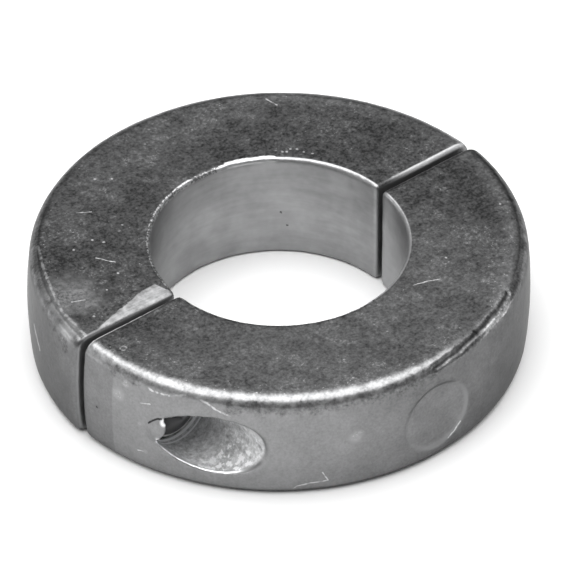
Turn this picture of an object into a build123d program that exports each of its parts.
"""Slim split shaft-collar anode.

Two identical zinc castings close round a propeller shaft and are drawn together by two cross screws.
The rear casting is the front one turned half a turn about the shaft axis, so at each joint the screw
pocket of one half faces the threaded insert of the other.

Frame: origin on the shaft axis in the plane of the lower faces, +Z up the shaft axis. The halves part
on the XZ plane, with the front half on -Y and the rear half on +Y.
"""
import os

from build123d import *

# Collar casting, in millimetres
shaft_radius = 20.0
wall_radius = 39.5             # crest of the barrelled outer wall
collar_height = 19.0
split_gap = 1.0                # left between the halves when the screws are tight
barrel_rise = 0.6              # how far the wall's crest stands out past its ends
wall_inset = 0.9               # each wall's centre lies this far over the joint, towards the other half
threaded_end_stagger = 0.25    # each wall is struck this far towards its own threaded end
top_edge_radius = 2.4
lower_edge_radius = 1.8
cast_edge_radius = 0.45        # along the joint faces and the bore
threaded_end_radius = 1.0      # round the joint face at the threaded end, all but its bore side

# Cross screws: M6 socket head cap screws, with spring washers made to fit a counterbore
thread_radius = 3.0
screw_length = 20.0
head_radius = 5.0
head_height = 6.0
head_edge_chamfer = 0.6
socket_across_flats = 5.0
socket_depth = 3.0
socket_mouth_chamfer = 0.25
knurl_count = 36
knurl_depth = 0.25
knurl_plain_rim = 1.4          # plain band between the knurl and the top of the head
shank_tip_chamfer = 0.8
washer_radius = 4.95
washer_thickness = 1.6
washer_split_width = 0.8
washer_split_slant = 20.0      # degrees off the screw's axis

# Cast-in threaded inserts
insert_radius = 4.5
insert_length = 12.0
insert_waist_depth = 0.7
insert_waist_length = 4.0
insert_mouth_chamfer = 0.5

# Where the screws sit, and the room round them
screw_outset = 1.0             # the screws lie this far outside the middle of the joint face
pocket_radius = 5.3
seat_wall = 4.6                # zinc between the joint face and the washer's seat
shank_clearance = 0.3
thread_clearance = 0.05
tip_clearance = 2.0
pocket_lip_radius = 0.15

# Round core mark in the middle of each outer wall
mark_radius = 6.2
mark_drop = 0.9                # its centre lies this far under the middle of the wall
mark_depth = 0.75
mark_edge_radius = 0.25

# Dressed facet along the rear half's top edge, at its threaded end
facet_bore_width = 3.4
facet_outer_width = 0.7
facet_depth = 0.4

# How far cutting shapes reach past what they cut
overrun = 10.0

# Worked out from the sizes above
joint_y = -split_gap / 2
mid_height = collar_height / 2
screw_height = (lower_edge_radius + collar_height - top_edge_radius) / 2    # middle of the plain wall
screw_offset = (shaft_radius + wall_radius) / 2 + screw_outset
seat_y = joint_y - seat_wall
under_head_y = seat_y - washer_thickness
half_turn = Rot(0, 0, 180)
upwards = (Align.CENTER, Align.CENTER, Align.MIN)
downwards = (Align.CENTER, Align.CENTER, Align.MAX)


def facing_front(x, y):
    """Plane across a screw's axis at this x and y, its own Z pointing out at the front."""
    return Plane(origin=(x, y, screw_height), x_dir=(1, 0, 0), z_dir=(0, -1, 0))


def barrel():
    """Solid of the outer wall all round: barrelled, with a fuller rounding at the top edge."""
    end_radius = wall_radius - barrel_rise
    wall = ThreePointArc((end_radius, 0), (wall_radius, mid_height), (end_radius, collar_height))
    faces_and_axis = Polyline((end_radius, collar_height), (0, collar_height), (0, 0), (end_radius, 0))
    section = make_face(Curve() + [wall, faces_and_axis])
    top_rim = section.vertices().group_by(Axis.X)[-1].sort_by(Axis.Y)[-1]
    section = fillet(top_rim, top_edge_radius)
    lower_rim = section.vertices().group_by(Axis.Y)[0].sort_by(Axis.X)[-1]
    section = fillet(lower_rim, lower_edge_radius)
    return revolve(Plane.XZ * section, Axis.Z)


def half_ring():
    """Front half without its holes: the barrel cut off at the joint and bored for the shaft."""
    cut_height = 2 * (collar_height + overrun)
    reach = wall_radius + overrun
    front_side = Box(2 * reach, reach, cut_height, align=(Align.CENTER, Align.MAX, Align.CENTER))
    ring = Pos(threaded_end_stagger, wall_inset, 0) * barrel()
    ring = ring & Pos(0, joint_y, 0) * front_side
    ring -= Cylinder(shaft_radius, cut_height)
    joint_edges = ring.faces().filter_by(Axis.Y).group_by(Axis.Y)[-1].edges()
    threaded_end = joint_edges.group_by(Axis.X)[-1]
    ring = fillet(threaded_end, threaded_end_radius)
    joint_edges = ring.faces().filter_by(Axis.Y).group_by(Axis.Y)[-1].edges()
    bore = ring.faces().filter_by(GeomType.CYLINDER).sort_by(SortBy.AREA)[-1]
    bore_rims = bore.edges().filter_by(GeomType.CIRCLE)
    return fillet(joint_edges + bore_rims, cast_edge_radius)


def screw_cavity():
    """Clearance hole and counterbored pocket, running out through the wall along the screw's axis."""
    shank_hole = Cylinder(thread_radius + shank_clearance, -seat_y, align=upwards)
    pocket = Pos(0, 0, -seat_y) * Cylinder(pocket_radius, wall_radius, align=upwards)
    return facing_front(-screw_offset, 0) * (shank_hole + pocket)


def insert_outline():
    """Outline of a threaded insert, with a waist that the zinc grips, standing out from its mouth."""
    outline = Cylinder(insert_radius, insert_length)
    waist = Cylinder(insert_radius, insert_waist_length)
    waist -= Cylinder(insert_radius - insert_waist_depth, insert_waist_length)
    return Pos(0, 0, insert_length / 2) * (outline - waist)


def threaded_insert():
    """Bush with its mouth flush with the joint face."""
    bush = insert_outline() - Cylinder(thread_radius + thread_clearance, insert_length, align=upwards)
    mouths = bush.edges().filter_by(GeomType.CIRCLE).group_by(SortBy.RADIUS)[0]
    return facing_front(screw_offset, joint_y) * chamfer(mouths, insert_mouth_chamfer)


def insert_cavity():
    """The insert's own outline, and the hole beyond it that the screw's tip runs into."""
    tip_depth = screw_length + under_head_y + tip_clearance
    tip_hole = Cylinder(thread_radius + shank_clearance, tip_depth, align=upwards)
    insert_place = facing_front(screw_offset, joint_y) * insert_outline()
    return insert_place + facing_front(screw_offset, 0) * tip_hole


def core_mark():
    """Shallow flat-bottomed round in the middle of the outer wall, with a soft bottom edge."""
    floor_y = wall_inset - wall_radius + mark_depth
    disc = Cylinder(mark_radius, mark_depth + overrun, align=upwards)
    disc = fillet(disc.edges().group_by(Axis.Z)[0], mark_edge_radius)
    return Plane(origin=(threaded_end_stagger, floor_y, mid_height - mark_drop), z_dir=(0, -1, 0)) * disc


def half_casting():
    """Front half: a pocketed end at -X and a threaded end at +X."""
    half = half_ring() - screw_cavity() - insert_cavity() - core_mark()
    pocket_mouth = half.edges().filter_by(GeomType.BSPLINE).sort_by(SortBy.LENGTH)[-1]
    return fillet(pocket_mouth, pocket_lip_radius)


def dressing_cut():
    """Wedge over the rear half's top edge, deepest at the joint and widest at the bore."""
    bore_x = -shaft_radius
    outer_x = threaded_end_stagger - wall_radius
    at_bore = Vector(bore_x, -joint_y + facet_bore_width, collar_height)
    at_outside = Vector(outer_x, -joint_y + facet_outer_width, collar_height)
    at_joint = Vector((bore_x + outer_x) / 2, -joint_y, collar_height - facet_depth)
    along = at_outside - at_bore
    normal = along.cross(at_joint - at_bore)
    if normal.Z < 0:
        normal = -normal
    wedge = Box(2 * (along.length + overrun), 2 * (facet_bore_width + overrun), overrun, align=upwards)
    return Plane(origin=at_bore, x_dir=along, z_dir=normal) * wedge


def cap_screw():
    """Socket head cap screw with a straight-knurled head, its shank reaching through the joint."""
    head = Cylinder(head_radius, head_height, align=upwards)
    notch_side = knurl_depth * 2 ** 0.5
    notch = Rot(0, 0, 45) * Box(notch_side, notch_side, head_height - knurl_plain_rim, align=upwards)
    head -= PolarLocations(head_radius, knurl_count) * notch
    head = chamfer(head.edges().group_by(Axis.Z)[-1], head_edge_chamfer)
    socket = extrude(RegularPolygon(socket_across_flats / 2, 6, major_radius=False), -socket_depth)
    head -= Pos(0, 0, head_height) * socket
    socket_mouth = head.edges().filter_by(GeomType.LINE).group_by(Axis.Z)[-1]
    head = chamfer(socket_mouth, socket_mouth_chamfer)
    shank = Cylinder(thread_radius, screw_length, align=downwards)
    shank = chamfer(shank.edges().group_by(Axis.Z)[0], shank_tip_chamfer)
    return facing_front(-screw_offset, under_head_y) * (head + shank)


def spring_washer():
    """Closed-up spring washer under the screw's head, split on a slant."""
    ring = Cylinder(washer_radius, washer_thickness, align=upwards)
    ring -= Cylinder(thread_radius + thread_clearance, washer_thickness, align=upwards)
    slot = Box(washer_radius, washer_split_width, washer_thickness + overrun)
    ring -= Pos(washer_radius, 0, washer_thickness / 2) * Rot(washer_split_slant, 0, 0) * slot
    return facing_front(-screw_offset, seat_y) * ring


casting = half_casting()
screw = cap_screw()
washer = spring_washer()
insert = threaded_insert()

pieces = {
    "front_half": casting,
    "rear_half": half_turn * casting - dressing_cut(),
    "front_screw": screw,
    "rear_screw": half_turn * screw,
    "front_spring_washer": washer,
    "rear_spring_washer": half_turn * washer,
    "front_threaded_insert": insert,
    "rear_threaded_insert": half_turn * insert,
}

os.makedirs("parts", exist_ok=True)
for name, piece in pieces.items():
    export_step(piece, f"parts/{name}.step")
    print(name, len(piece.solids()), round(piece.volume, 1))
